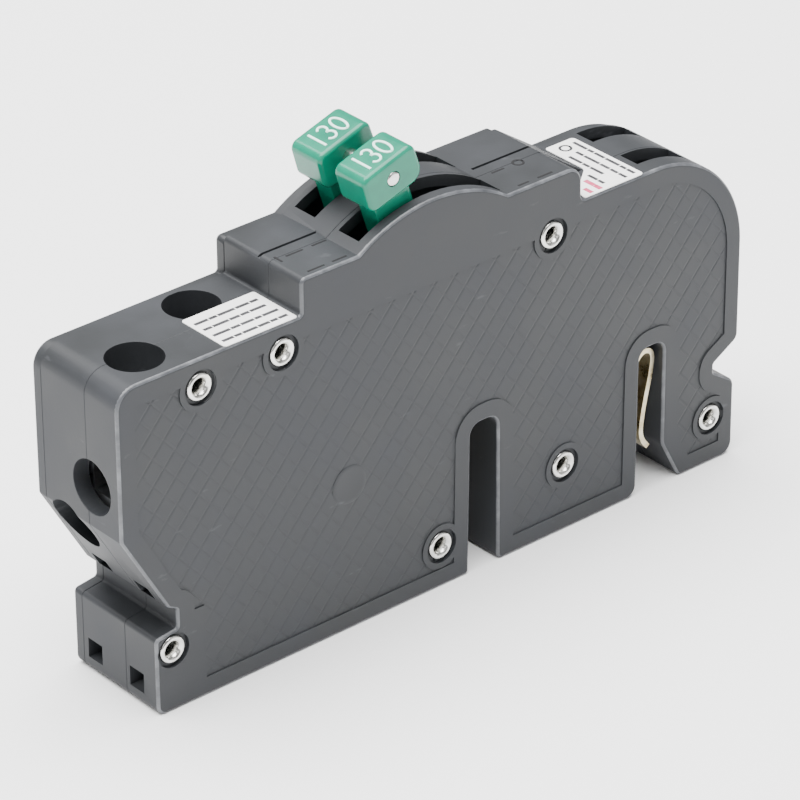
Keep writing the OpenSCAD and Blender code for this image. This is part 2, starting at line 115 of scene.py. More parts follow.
def inset(points, t):
    """Moves each side of a clockwise outline inwards by t, and its corner radii with it."""
    moved = []
    for i, p in enumerate(points):
        n1, n2 = inward(points[i - 1], p), inward(p, points[(i + 1) % len(points)])
        at = Vector(p[:2]) + t * (n1 + n2) / (1 + n1.dot(n2))
        convex = n1.x * n2.y - n1.y * n2.x < 0
        moved.append((at.x, at.y, max(p[2] - t, 0.1) if convex else p[2] + t))
    return moved


def rounded(points, step=9):
    """Points of the outline with its corners rounded; step is the arc angle in degrees."""
    out = []
    for i, p in enumerate(points):
        here = Vector(p[:2])
        u = (Vector(points[i - 1][:2]) - here).normalized()
        v = (Vector(points[(i + 1) % len(points)][:2]) - here).normalized()
        half = math.acos(max(-1, min(1, u.dot(v)))) / 2
        centre = here + (u + v).normalized() * p[2] / math.sin(half)
        s = here + u * p[2] / math.tan(half) - centre
        e = here + v * p[2] / math.tan(half) - centre
        start = math.atan2(s.y, s.x)
        turn = math.atan2(s.x * e.y - s.y * e.x, s.dot(e))
        n = max(2, math.ceil(abs(math.degrees(turn)) / (2.5 if p[2] > 10 else step) - 0.01))
        for k in range(n + 1):
            a = start + turn * k / n
            out.append((centre.x + p[2] * math.cos(a), centre.y + p[2] * math.sin(a)))
    return out


# ---- mesh helpers; sizes go in as millimetres and come out as metres ----


def add_piece(name, bm):
    mesh = bpy.data.meshes.new(name)
    bmesh.ops.recalc_face_normals(bm, faces=bm.faces)
    bm.to_mesh(mesh)
    bm.free()
    piece = bpy.data.objects.new(name, mesh)
    bpy.context.scene.collection.objects.link(piece)
    return piece


def skin_rings(bm, rings, close=False):
    """Joins rings of equal length with quads; caps the two ends, or joins them if close is set."""
    made = [[bm.verts.new(Vector(p) * MM) for p in ring] for ring in rings]
    pairs = list(zip(made, made[1:]))
    if close:
        pairs.append((made[-1], made[0]))
    for a, b in pairs:
        for i in range(len(a)):
            j = (i + 1) % len(a)
            bm.faces.new((a[i], a[j], b[j], b[i]))
    if not close:
        bm.faces.new(made[0])
        bm.faces.new(list(reversed(made[-1])))


def slab_rings(points_at, layers):
    """Rings of an outline in x and z at several y; layers holds (y, inset)."""
    return [[(x, y, z) for x, z in points_at(t)] for y, t in layers]


def edge_layers(y, towards, radius, slack=0.0, steps=4):
    """Layers of a quarter-round edge that starts on the face at y and runs towards +1 or -1."""
    layers = []
    for k in range(steps + 1):
        a = math.radians(90 * k / steps)
        depth = towards * radius * (1 - math.cos(a))
        layers.append((y + depth, radius * (1 - math.sin(a)) - slack))
    return layers


def revolve(bm, profile, axis_from, axis, segments=48):
    """Closed solid of revolution; profile holds (radius, distance along the axis)."""
    axis = Vector(axis).normalized()
    side = axis.orthogonal().normalized()
    other = axis.cross(side)
    base = Vector(axis_from)
    rings = []
    for k in range(segments):
        a = 2 * math.pi * k / segments
        out = side * math.cos(a) + other * math.sin(a)
        rings.append([base + out * r + axis * h for r, h in profile])
    if all(r > 1e-6 for r, _ in profile):
        skin_rings(bm, rings, close=True)
        return
    ends = {i: bm.verts.new((base + axis * h) * MM)
            for i, (r, h) in enumerate(profile) if r <= 1e-6}
    made = [[ends.get(i) or bm.verts.new(p * MM) for i, p in enumerate(ring)] for ring in rings]
    n = len(profile)
    for k in range(segments):
        a, b = made[k], made[(k + 1) % segments]
        for i in range(n):
            j = (i + 1) % n
            corner = []
            for v in (a[i], a[j], b[j], b[i]):
                if v not in corner:
                    corner.append(v)
            if len(corner) > 2:
                bm.faces.new(corner)


def ribbon(bm, path, width, height, put):
    """Raised stroke along a path of 2-D points; put turns a, b and height into a place."""
    points = [Vector(p) for p in path]
    rings = []
    for i, p in enumerate(points):
        ahead = points[min(i + 1, len(points) - 1)] - points[max(i - 1, 0)]
        side = Vector((-ahead.y, ahead.x)).normalized() * width / 2
        end = ahead.normalized() * width * 0.25 * ((i == len(points) - 1) - (i == 0))
        p = p + end
        rings.append([put(*(p + side), -0.03), put(*(p + side * 0.8), height),
                      put(*(p - side * 0.8), height), put(*(p - side), -0.03)])
    skin_rings(bm, rings)


def arc(centre, radii, start, end, n=20):
    angles = [math.radians(start + (end - start) * k / n) for k in range(n + 1)]
    return [(centre[0] + radii[0] * math.cos(a), centre[1] + radii[1] * math.sin(a))
            for a in angles]


def boolean(piece, operation, cutters):
    """Applies one exact boolean with all the cutters and removes them."""
    group = bpy.data.collections.new("cutters")
    for cutter in cutters:
        group.objects.link(cutter)
    modifier = piece.modifiers.new("cut", "BOOLEAN")
    modifier.operation = operation
    modifier.solver = "EXACT"
    modifier.operand_type = "COLLECTION"
    modifier.collection = group
    apply_modifiers(piece)
    for cutter in cutters:
        mesh = cutter.data
        bpy.data.objects.remove(cutter)
        bpy.data.meshes.remove(mesh)
    bpy.data.collections.remove(group)


def apply_modifiers(piece):
    graph = bpy.context.evaluated_depsgraph_get()
    done = bpy.data.meshes.new_from_object(piece.evaluated_get(graph))
    old = piece.data
    piece.modifiers.clear()
    piece.data = done
    bpy.data.meshes.remove(old)


def tidy_mesh(piece, flat_angle=0.4, smooth_angle=32):
    """Welds and merges flat faces, then shades smooth up to an angle."""
    bm = bmesh.new()
    bm.from_mesh(piece.data)
    bmesh.ops.remove_doubles(bm, verts=bm.verts, dist=WELD_M)
    bmesh.ops.dissolve_limit(bm, angle_limit=math.radians(flat_angle), verts=bm.verts,
                             edges=bm.edges)
    bm.to_mesh(piece.data)
    bm.free()
    shade(piece, smooth_angle)


def shade(piece, smooth_angle=32):
    piece.data.polygons.foreach_set("use_smooth", [True] * len(piece.data.polygons))
    piece.data.set_sharp_from_angle(angle=math.radians(smooth_angle))
    piece.modifiers.clear()
    weighted = piece.modifiers.new("normals", "WEIGHTED_NORMAL")
    weighted.keep_sharp = True


def node_copy(node, name):
    """A welded copy of a CAD node's mesh as a new object."""
    bm = bmesh.new()
    bm.from_mesh(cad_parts[node].data)
    bmesh.ops.remove_doubles(bm, verts=bm.verts, dist=WELD_M)
    return add_piece(name, bm)


def place(piece, body, material, replaced=()):
    """Gives a finished piece its materials and body, and hides the CAD nodes that it stands for."""
    piece.data.materials.clear()
    for m in material if isinstance(material, (list, tuple)) else [material]:
        piece.data.materials.append(m)
    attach(piece, body)
    if replaced:
        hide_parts(*replaced)
    return piece


# ---- materials ----


def srgb(code):
    """Linear colour of an sRGB hex value."""
    channels = [int(code[i:i + 2], 16) / 255 for i in (0, 2, 4)]
    return (*[c / 12.92 if c <= 0.04045 else ((c + 0.055) / 1.055) ** 2.4 for c in channels], 1.0)


def add_node(tree, kind, values=None, links=None, **settings):
    """Adds one node, with its settings, socket values and links."""
    made = tree.nodes.new(kind)
    for key, value in settings.items():
        setattr(made, key, value)
    for socket, value in (values or {}).items():
        made.inputs[socket].default_value = value
    for socket, source in (links or {}).items():
        tree.links.new(source, made.inputs[socket])
    return made


def finish_material(name, colours, roughness, mottle_mm, grain_mm, grain_depth, metallic=0.0,
                    ior=1.5, scuff=None):
    """Colour that drifts between tones, roughness that varies with it and a fine surface grain.

    colours are hex tones, roughness is a low and a high value, mottle_mm and grain_mm are the
    sizes of the two patterns, and scuff is (hex colour, share) for pale handling marks."""
    material = bpy.data.materials.new(name)
    material.use_nodes = True
    tree = material.node_tree
    shader = tree.nodes["Principled BSDF"]
    where = add_node(tree, "ShaderNodeTexCoord").outputs["Object"]
    mottle = add_node(tree, "ShaderNodeTexNoise",
                      {"Scale": 1000 / mottle_mm, "Detail": 5.0, "Roughness": 0.6},
                      {"Vector": where})
    grain = add_node(tree, "ShaderNodeTexNoise",
                     {"Scale": 1000 / grain_mm, "Detail": 3.0, "Roughness": 0.55},
                     {"Vector": where})
    ramp = add_node(tree, "ShaderNodeValToRGB", links={"Fac": mottle.outputs["Fac"]})
    stops = ramp.color_ramp.elements
    stops[0].position, stops[1].position = 0.3, 0.7
    stops[0].color, stops[1].color = srgb(colours[0]), srgb(colours[-1])
    for i, tone in enumerate(colours[1:-1], 1):
        stops.new(0.3 + 0.4 * i / (len(colours) - 1)).color = srgb(tone)
    colour = ramp.outputs["Color"]
    rough = add_node(tree, "ShaderNodeMapRange",
                     {"From Min": 0.3, "From Max": 0.7,
                      "To Min": roughness[0], "To Max": roughness[1]},
                     {"Value": mottle.outputs["Fac"]})
    if scuff:
        stretched = add_node(tree, "ShaderNodeMapping",
                             {"Scale": (1, 1, 3.2), "Rotation": (0, 0.6, 0)}, {"Vector": where})
        marks = add_node(tree, "ShaderNodeTexNoise", {"Scale": 1000 / 5.0, "Detail": 4.0},
                         {"Vector": stretched.outputs["Vector"]})
        mask = add_node(tree, "ShaderNodeMapRange",
                        {"From Min": 0.68, "From Max": 0.8, "To Min": 0.0, "To Max": scuff[1]},
                        {"Value": marks.outputs["Fac"]})
        mix = add_node(tree, "ShaderNodeMix", data_type="RGBA")
        tree.links.new(mask.outputs["Result"], mix.inputs["Factor"])
        tree.links.new(colour, mix.inputs["A"])
        mix.inputs["B"].default_value = srgb(scuff[0])
        colour = mix.outputs["Result"]
    bump = add_node(tree, "ShaderNodeBump", {"Strength": 1.0, "Distance": grain_depth * MM},
                    {"Height": grain.outputs["Fac"]})
    tree.links.new(colour, shader.inputs["Base Color"])
    tree.links.new(rough.outputs["Result"], shader.inputs["Roughness"])
    tree.links.new(bump.outputs["Normal"], shader.inputs["Normal"])
    shader.inputs["Metallic"].default_value = metallic
    if not metallic:
        shader.inputs["IOR"].default_value = ior
    return material


MATERIALS = {}


def material(name):
    """Makes each material once, when the first piece asks for it."""
    if name not in MATERIALS:
        MATERIALS[name] = finish_material(name, **FINISHES[name])
    return MATERIALS[name]


FINISHES = {
    # Compression-moulded phenolic: dense grey thermoset with a satin skin, faint flow mottling
    # and pale handling scuffs. The grain is drawn at 0.35 mm, coarser than the real 0.1 mm.
    "satin_moulded_phenolic": dict(
        colours=("222426", "27292c", "2d2f33"), roughness=(0.5, 0.64), mottle_mm=14, grain_mm=0.35,
        grain_depth=0.012, ior=1.45, scuff=("5d5f63", 0.4)),
    # The same phenolic on the rounded moulded edges: paler, as a painted highlight, and smoother.
    "edge_highlight_phenolic": dict(
        colours=("3a3c40", "4c4e52", "686a6e"), roughness=(0.34, 0.46), mottle_mm=3, grain_mm=0.3,
        grain_depth=0.006, ior=1.6),
    # Injection-moulded urea toggle: even, saturated green with a soft gloss.
    "glossy_moulded_urea": dict(
        colours=("006a54", "00765c", "008266"), roughness=(0.18, 0.26), mottle_mm=8, grain_mm=0.6,
        grain_depth=0.004, ior=1.45),
    # White hot-stamped foil on the raised numerals.
    "stamped_white_foil": dict(
        colours=("c8f4e6", "e0fbf2"), roughness=(0.35, 0.5), mottle_mm=1.2, grain_mm=0.3,
        grain_depth=0.01),
    # Nickel-plated brass eyelet: rolled, bright and slightly uneven.
    "rolled_nickel_plate": dict(
        colours=("c9c8c4", "dcdbd7", "e6e5e1"), roughness=(0.14, 0.3), mottle_mm=1.5, grain_mm=0.25,
        grain_depth=0.008, metallic=1.0),
    # Tin-plated spring bronze, pressed: pale gold with streaks from the strip rolling.
    "tinned_spring_bronze": dict(
        colours=("a89874", "c8bc9c", "ddd6c0"), roughness=(0.22, 0.4), mottle_mm=2.5, grain_mm=0.3,
        grain_depth=0.008, metallic=1.0),
    # Zinc-plated pressed steel for lugs, screws and pads.
    "zinc_plated_steel": dict(
        colours=("9fa3a6", "b4b8ba", "c3c6c7"), roughness=(0.25, 0.42), mottle_mm=3, grain_mm=0.3,
        grain_depth=0.01, metallic=1.0),
    # Bare cold-rolled steel for the trip gear.
    "cold_rolled_steel": dict(
        colours=("7b7e80", "8f9294", "9c9fa1"), roughness=(0.32, 0.5), mottle_mm=4, grain_mm=0.4,
        grain_depth=0.01, metallic=1.0),
    # Drawn copper strip, lightly tarnished.
    "drawn_copper": dict(
        colours=("9c5c38", "b56d45", "c98055"), roughness=(0.28, 0.45), mottle_mm=3, grain_mm=0.3,
        grain_depth=0.01, metallic=1.0),
    # Rolled nickel-iron and brass bimetal strip.
    "rolled_bimetal": dict(
        colours=("9a8f78", "ada28a", "bcb29c"), roughness=(0.3, 0.45), mottle_mm=3, grain_mm=0.3,
        grain_depth=0.01, metallic=1.0),
    # Pressed silver alloy button.
    "pressed_silver": dict(
        colours=("c4c4c2", "d6d6d4"), roughness=(0.2, 0.34), mottle_mm=1, grain_mm=0.2,
        grain_depth=0.008, metallic=1.0),
    # Moulded natural nylon.
    "moulded_nylon": dict(
        colours=("cbc1a0", "d8cfae"), roughness=(0.4, 0.5), mottle_mm=5, grain_mm=0.4,
        grain_depth=0.01, ior=1.53),
    # Vinyl sticker: white face stock with a slight sheen.
    "vinyl_label": dict(
        colours=("ececea", "f6f6f4"), roughness=(0.35, 0.5), mottle_mm=4, grain_mm=0.5,
        grain_depth=0.008),
    # Near-black colour for the position marks on the shoulders.
    "dark_position_mark": dict(
        colours=("08080a", "101012"), roughness=(0.85, 0.95), mottle_mm=1, grain_mm=0.3,
        grain_depth=0.006),
    # Thermal print on the sticker.
    "grey_label_ink": dict(
        colours=("1c1c1e", "3c3c40"), roughness=(0.5, 0.6), mottle_mm=0.8, grain_mm=0.3,
        grain_depth=0.004),
    "red_label_ink": dict(
        colours=("b02850", "c85878"), roughness=(0.5, 0.6), mottle_mm=0.8, grain_mm=0.3,
        grain_depth=0.004),
}


# ---- shells ----


def shell_block(name, drop, shoulder, near_edge, far_edge, y0, y1):
    """Solid that a shell is cut from: its outline with rounded or chamfered long edges."""
    slack = 0.02
    layers = edge_layers(y0, 1, near_edge[0], slack, near_edge[1])
    layers += list(reversed(edge_layers(y1, -1, far_edge[0], slack, far_edge[1])))
    bm = bmesh.new()
    shape = outline(drop, shoulder)
    skin_rings(bm, slab_rings(lambda t: rounded(inset(shape, t)), layers))
    return add_piece(name + "_block", bm)


def soften_rims(piece, radius):
    """Bevels the mouths of the screw and wire holes."""
    mouths = [(Vector((*NEAR_SCREW_HOLE, TOP)), 2), (Vector((*FAR_SCREW_HOLE, TOP)), 2),
              (Vector((-HALF_LENGTH, -3.2, NEAR_WIRE_Z)), 0)]
    bm = bmesh.new()
    bm.from_mesh(piece.data)

    def on_rim(v):
        for centre, axis in mouths:
            off = v.co / MM - centre
            if abs(off[axis]) < 0.05 and abs(off.length - HOLE_R) < 0.03:
                return True
        return False

    rim = [e for e in bm.edges
           if on_rim(e.verts[0]) and on_rim(e.verts[1]) and e.calc_length() < 2 * MM]
    bmesh.ops.bevel(bm, geom=rim, offset=radius * MM, segments=2, profile=0.5, affect="EDGES",
                    clamp_overlap=True)
    bm.to_mesh(piece.data)
    bm.free()


def knurl(piece, y_floor, inner_sign, pitch, depth):
    """Cuts two families of fine crossing V grooves into the recessed side panel."""
    bm = bmesh.new()
    bm.from_mesh(piece.data)

    def floor():
        bm.normal_update()
        return [f for f in bm.faces
                if abs(f.normal.y) > 0.999 and abs(f.verts[0].co.y - y_floor * MM) < 5e-6
                and abs(f.verts[1].co.y - y_floor * MM) < 5e-6]

    bmesh.ops.triangulate(bm, faces=floor())
    directions = [(Vector((1, 0, slope)).normalized(), slope * KNURL_OFFSET)
                  for slope in (KNURL_SLOPE, -KNURL_SLOPE)]
    for across, start in directions:
        for i in range(int(2 * KNURL_REACH / pitch)):
            for shift in (-GROOVE_HALF_WIDTH, 0, GROOVE_HALF_WIDTH):
                faces = floor()
                parts = {e for f in faces for e in f.edges} | {v for f in faces for v in f.verts}
                geometry = list(parts) + faces
                bmesh.ops.bisect_plane(bm, geom=geometry, dist=1e-7, plane_no=across,
                                       plane_co=across * (start - KNURL_REACH + i * pitch + shift)
                                       * MM)
    sunk = set()
    for v in {v for f in floor() for v in f.verts}:
        for across, start in directions:
            steps = (v.co.dot(across) / MM - start + KNURL_REACH) / pitch
            if abs(steps - round(steps)) * pitch < GROOVE_HALF_WIDTH * 0.3:
                sunk.add(v)
    border = {v for v in sunk if any(abs(f.normal.y) < 0.9 for f in v.link_faces)}
    for v in sunk - border:
        v.co.y = (y_floor + inner_sign * depth) * MM
    for f in {f for v in sunk - border for f in v.link_faces}:
        f.smooth = False
    bm.to_mesh(piece.data)
    bm.free()


def paint_edge_highlight(piece, edge):
    """Gives the rounded side edges the second material, paler as a painted highlight."""
    for face in piece.data.polygons:
        off_face = FAR_FACE - abs(face.center.y / MM)
        if off_face < edge and 0.12 < abs(face.normal.y) < 0.97 and face.use_smooth:
            face.material_index = 1


class ShellSettings(bpy.types.PropertyGroup):
    edge_radius: bpy.props.FloatProperty(
        name="Edge radius", description="Rounding of the side edges",
        default=0.6 * MM, unit="LENGTH")
    seam_gap: bpy.props.FloatProperty(
        name="Seam chamfer", description="Chamfer on each side of a parting seam",
        default=0.12 * MM, unit="LENGTH")
    knurl_pitch: bpy.props.FloatProperty(
        name="Knurl pitch", description="Spacing of the diamond lines",
        default=2.9 * MM, unit="LENGTH")
    knurl_depth: bpy.props.FloatProperty(
        name="Knurl depth", description="Depth of the diamond lines",
        default=0.06 * MM, unit="LENGTH")


class BREAKER_OT_shells(bpy.types.Operator):
    """Make the near cover, centre case and far cover with rounded edges and the knurled sides"""

    bl_idname = "breaker.shells"
    bl_label = "Moulded shells"

    def execute(self, context):
        settings = context.scene.breaker_shells
        edge, seam = settings.edge_radius / MM, settings.seam_gap / MM
        pitch, depth = settings.knurl_pitch / MM, settings.knurl_depth / MM
        plans = {
            "near_cover": (0, SQUARE_SHOULDER, (edge, 4), (seam, 1), NEAR_FACE, NEAR_SEAM),
            "centre_case": (0, SLOPED_SHOULDER, (seam, 1), (seam, 1), NEAR_SEAM, FAR_SEAM),
            "far_cover": (FAR_DROP, SLOPED_SHOULDER, (seam, 1), (edge, 4), FAR_SEAM, FAR_FACE),
        }
        for node, plan in plans.items():
            shell = node_copy(node, node + "_shell")
            boolean(shell, "INTERSECT", [shell_block(node, *plan)])
            tidy_mesh(shell)
            soften_rims(shell, RIM_RADIUS)
            shade(shell)
            if node == "near_cover":
                knurl(shell, NEAR_FACE + PANEL_DEPTH, 1, pitch, depth)
            if node == "far_cover":
                knurl(shell, FAR_FACE - PANEL_DEPTH, -1, pitch, depth)
            place(shell, "case",
                  [material("satin_moulded_phenolic"), material("edge_highlight_phenolic")], [node])
            # The rounded side edges take the paler second material as a painted highlight.
            paint_edge_highlight(shell, edge)
        return {"FINISHED"}


# ---- the rest of the CAD ----

NODE_FINISHES = {
    "tinned_spring_bronze": ("near_line_clip", "far_line_clip", "calibration_screws"),
    "pressed_silver": ("near_fixed_contact", "far_fixed_contact", "near_moving_contact",
                       "far_moving_contact"),
    "drawn_copper": ("near_contact_arm", "far_contact_arm", "near_braid", "far_braid",
                     "near_load_strap", "far_load_strap"),
    "cold_rolled_steel": ("arm_pins", "near_toggle_spring", "far_toggle_spring", "near_cradle",
                          "far_cradle", "cradle_pins", "near_magnet_yoke", "far_magnet_yoke",
                          "near_armature", "far_armature", "armature_pins", "near_arc_chute",
                          "far_arc_chute"),
    "moulded_nylon": ("trip_bar",),
    "rolled_bimetal": ("near_bimetal", "far_bimetal"),
    "zinc_plated_steel": ("near_terminal_lug", "far_terminal_lug", "near_clamp_screw",
                          "far_clamp_screw", "near_clamp_pad", "far_clamp_pad"),
}


class BREAKER_OT_inner_parts(bpy.types.Operator):
    """Give the contacts, trip gear and terminals their finishes"""

    bl_idname = "breaker.inner_parts"
    bl_label = "Inner parts"

    def execute(self, context):
        for finish, nodes in NODE_FINISHES.items():
            for node in nodes:
                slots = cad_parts[node].data.materials
                slots.clear()
                slots.append(material(finish))
        return {"FINISHED"}


# ---- rivets ----

# Rolled lip of an eyelet as radius and distance from the middle plane, from the bore outwards
EYELET_LIP = [
    (0.92, 7.2), (0.94, 8.1), (1.0, 8.45), (1.14, 8.85), (1.3, 9.15), (1.5, 9.38), (1.72, 9.47),
    (1.95, 9.42), (2.12, 9.26), (2.19, 9.08), (2.16, 8.95), (1.3, 8.93), (1.24, 8.6), (1.24, 7.2),
]


class BREAKER_OT_rivets(bpy.types.Operator):
    """Roll the seven hollow eyelet rivets"""

    bl_idname = "breaker.rivets"
    bl_label = "Eyelet rivets"

    def execute(self, context):
        profile = EYELET_LIP + [(r, -h) for r, h in reversed(EYELET_LIP)]
        bm = bmesh.new()
        for x, z in RIVETS:
            revolve(bm, profile, (x, 0, z), (0, 1, 0), 40)
        rivets = add_piece("eyelet_rivets", bm)
        shade(rivets, 60)
        place(rivets, "case", material("rolled_nickel_plate"), ["rivets"])
        return {"FINISHED"}


# ---- handles ----


def lean(points_xz):
    """Turns points given upright about the handle pivot into the leaning rest position."""
    a = math.radians(-HANDLE_LEAN)
    out = []
    for v, u in points_xz:
        out.append((HANDLE_PIVOT[0] + v * math.cos(a) + u * math.sin(a),
                    HANDLE_PIVOT[1] - v * math.sin(a) + u * math.cos(a)))
    return out


def leaning_block(name, corners, y0, y1, edge, steps=4):
    bm = bmesh.new()
    layers = edge_layers(y0, 1, edge, 0, steps)
    layers += list(reversed(edge_layers(y1, -1, edge, 0, steps)))
    skin_rings(bm, slab_rings(lambda t: lean(rounded(inset(corners, t), 7.5)), layers))
    return add_piece(name, bm)


CAP_CORNERS = [(-4.9, 27.9, 1.5), (-4.7, CAP_TOP, 1.4), (5.2, CAP_TOP, 1.4), (5.4, 27.9, 2.2)]
STEM_CORNERS = [(-3.2, 0, 0.4), (-3.5, 30, 0.4), (3.2, 30, 0.4), (2.9, 0, 0.4)]

# Raised rating mark on top of a cap, as strokes of v (along the cap) and y (across it)
CAP_MARK = [
    [(-2.0, 2.4), (-2.0, 6.2)],
    arc((-0.1, 3.55), (0.75, 0.95), -150, 90) + arc((-0.1, 5.35), (0.65, 0.85), -90, 150),
    arc((2.2, 4.4), (0.78, 1.8), -90, 270),
]


class HandleSettings(bpy.types.PropertyGroup):
    edge_radius: bpy.props.FloatProperty(
        name="Edge radius", description="Rounding of the cap's side edges",
        default=0.7 * MM, unit="LENGTH")


class BREAKER_OT_handles(bpy.types.Operator):
    """Make the two green toggles and their raised rating marks"""

    bl_idname = "breaker.handles"
    bl_label = "Toggle handles"

    def execute(self, context):
        edge = context.scene.breaker_handles.edge_radius / MM
        for pole, label in zip(POLES, ("near", "far")):
            cap = leaning_block(label + "_toggle", CAP_CORNERS, pole + CAP_Y,
                                pole + CAP_Y + CAP_W, edge)
            stem = leaning_block("stem", STEM_CORNERS, pole + STEM_Y[0], pole + STEM_Y[1], 0.25, 2)
            bm = bmesh.new()
            pivot = (HANDLE_PIVOT[0], pole, HANDLE_PIVOT[1])
            revolve(bm, [(0, STEM_Y[0]), (HUB_R, STEM_Y[0]), (HUB_R, STEM_Y[1]), (0, STEM_Y[1])],
                    pivot, (0, 1, 0), 72)
            hub = add_piece("hub", bm)
            bm = bmesh.new()
            revolve(bm, [(0, TRUNNION_Y[0]), (TRUNNION_R, TRUNNION_Y[0]),
                         (TRUNNION_R, TRUNNION_Y[1]), (0, TRUNNION_Y[1])], pivot, (0, 1, 0), 48)
            trunnion = add_piece("trunnion", bm)
            boolean(cap, "UNION", [stem, hub, trunnion])
            bm = bmesh.new()
            (x, z), = lean([TIE_AT])
            bore = TIE_R + TIE_CLEARANCE
            revolve(bm, [(0, pole - 2), (bore, pole - 2), (bore, pole + 12), (0, pole + 12)],
                    (x, 0, z), (0, 1, 0), 40)
            boolean(cap, "DIFFERENCE", [add_piece("tie_bore", bm)])
            tidy_mesh(cap, 0.2, 40)
            place(cap, "handles", material("glossy_moulded_urea"),
                  [label + "_handle"])
            bm = bmesh.new()

            def on_cap(v, y, h):
                (x, z), = lean([(v, CAP_TOP + h)])
                return x, pole + y, z

            for stroke in CAP_MARK:
                ribbon(bm, stroke, 0.42, 0.12, on_cap)
            mark = add_piece(label + "_rating_mark", bm)
            shade(mark)
            place(mark, "handles", material("stamped_white_foil"))
        return {"FINISHED"}


class BREAKER_OT_tie_pin(bpy.types.Operator):
    """Make the plated pin that ties the two toggles"""

    bl_idname = "breaker.tie_pin"
    bl_label = "Tie pin"

    def execute(self, context):
        (x, z), = lean([TIE_AT])
        near, far = POLES[0] + CAP_Y - TIE_PROUD, CAP_Y + CAP_W + TIE_PROUD
        profile = [(0, near), (0.75, near + 0.02), (1.0, near + 0.1), (TIE_R, near + 0.3),
                   (TIE_R, far - 0.3), (1.0, far - 0.1), (0.75, far - 0.02), (0, far)]
        bm = bmesh.new()
        revolve(bm, profile, (x, 0, z), (0, 1, 0), 40)
        pin = add_piece("handle_tie", bm)
        shade(pin, 50)
        place(pin, "handles", material("rolled_nickel_plate"),
              ["handle_tie_pin"])
        return {"FINISHED"}


# ---- labels ----

# Corners of the stickers as x, y and radius, clockwise seen from above
TERMINAL_STICKER = [(-39.8, -9.3, 0.5), (-39.8, 0.3, 0.5), (-26.9, 0.3, 0.4), (-26.9, -9.3, 0.4)]
RATING_STICKER = [(26.6, -9.3, 0.4), (27.4, -7, 3), (32.8, -2.6, 1.5), (32.8, 6, 0.5),
                  (38.4, 6, 0.6), (38.4, -9.3, 0.6)]

# Lines of small print. Terminal label: y and bar lengths. Rating label: x, start, end and lengths.
TERMINAL_PRINT = ((-7.9, (1.6, 0.9, 2.2)), (-5.9, (2.6, 1.2, 1.9, 0.8)), (-3.8, (1.1, 2.4, 1.4)),
                  (-1.8, (2.0, 1.0, 2.6)))
RATING_PRINT = ((37.4, 4.6, -8.2, (2.6, 0.9, 1.8)), (35.6, 2.0, -8.4, (1.2, 2.9, 1.6)),
                (33.8, 1.6, -6.2, (2.4, 1.1)), (31.9, -4.6, -7.8, (1.6, 0.9)))


def flat_sheet(name, corners, z, thickness):
    """Thin sheet lying on a plane; corners hold x, y and radius, clockwise seen from above."""
    bm = bmesh.new()
    ring = rounded(corners)
    skin_rings(bm, [[(x, y, h) for x, y in ring] for h in (z, z + thickness)])
    return add_piece(name, bm)


def print_words(bm, start, end, width, words, z, along_y=False):
    """Row of short bars that stands for a line of small print."""
    at, i = start, 0
    step = 1 if end > start else -1
    while (end - at) * step > 0.8:
        length = min(words[1][i % len(words[1])], abs(end - at))
        ends = [(at, words[0]), (at + step * length, words[0])]
        ribbon(bm, [(b, a) for a, b in ends] if along_y else ends, width, PRINT_HEIGHT,
               lambda a, b, h: (a, b, z + h))
        at += step * (length + 0.55)
        i += 1


class BREAKER_OT_labels(bpy.types.Operator):
    """Stick the two printed labels on the top"""

    bl_idname = "breaker.labels"
    bl_label = "Labels"

    def execute(self, context):
        face = TOP + LABEL_THICKNESS
        terminal = flat_sheet("terminal_sticker", TERMINAL_STICKER, TOP, LABEL_THICKNESS)
        rating = flat_sheet("rating_sticker", RATING_STICKER, TOP, LABEL_THICKNESS)
        for piece, node in ((terminal, "terminal_label"), (rating, "rating_label")):
            shade(piece)
            place(piece, "case", material("vinyl_label"), [node])
        grey = bmesh.new()
        for y, words in TERMINAL_PRINT:
            print_words(grey, -38.9, -27.8, 0.75, (y, words), face)
        for x, y0, y1, words in RATING_PRINT:
            print_words(grey, y0, y1, 0.7, (x, words), face, along_y=True)
        ribbon(grey, arc((35.2, 4.1), (0.85, 0.85), 0, 360), 0.5, PRINT_HEIGHT,
               lambda a, b, h: (a, b, face + h))
        red = bmesh.new()
        print_words(red, -5.6, -8.9, 1.0, (30.4, (1.5, 0.9)), face, along_y=True)
        print_words(red, -7.4, -8.9, 0.9, (28.6, (1.2,)), face, along_y=True)
        for name, bm, ink in (("grey_print", grey, "grey_label_ink"),
                              ("red_print", red, "red_label_ink")):
            place(add_piece(name, bm), "case", material(ink))
        return {"FINISHED"}


# ---- marks on the moulding ----

# Dark position marks on the two shoulders: a bar for on, a ring for off, and short ticks
SHOULDER_MARKS = [
    [(-24.9, -3.6), (-24.9, -2.0)],
    [(-23.4, -2.8), (-20.6, -2.8)],
    [(-18.8, -2.8), (-16.4, -2.8)],
    [(-24.0, -8.2), (-21.2, -8.2)],
    [(-19.6, -8.2), (-17.2, -8.2)],
    [(14.6, -2.8), (16.8, -2.8)],
    arc((19.6, -2.8), (0.8, 0.8), 0, 360),
    [(14.9, -8.2), (16.7, -8.2)],
    [(18.6, -8.2), (21.2, -8.2)],
]


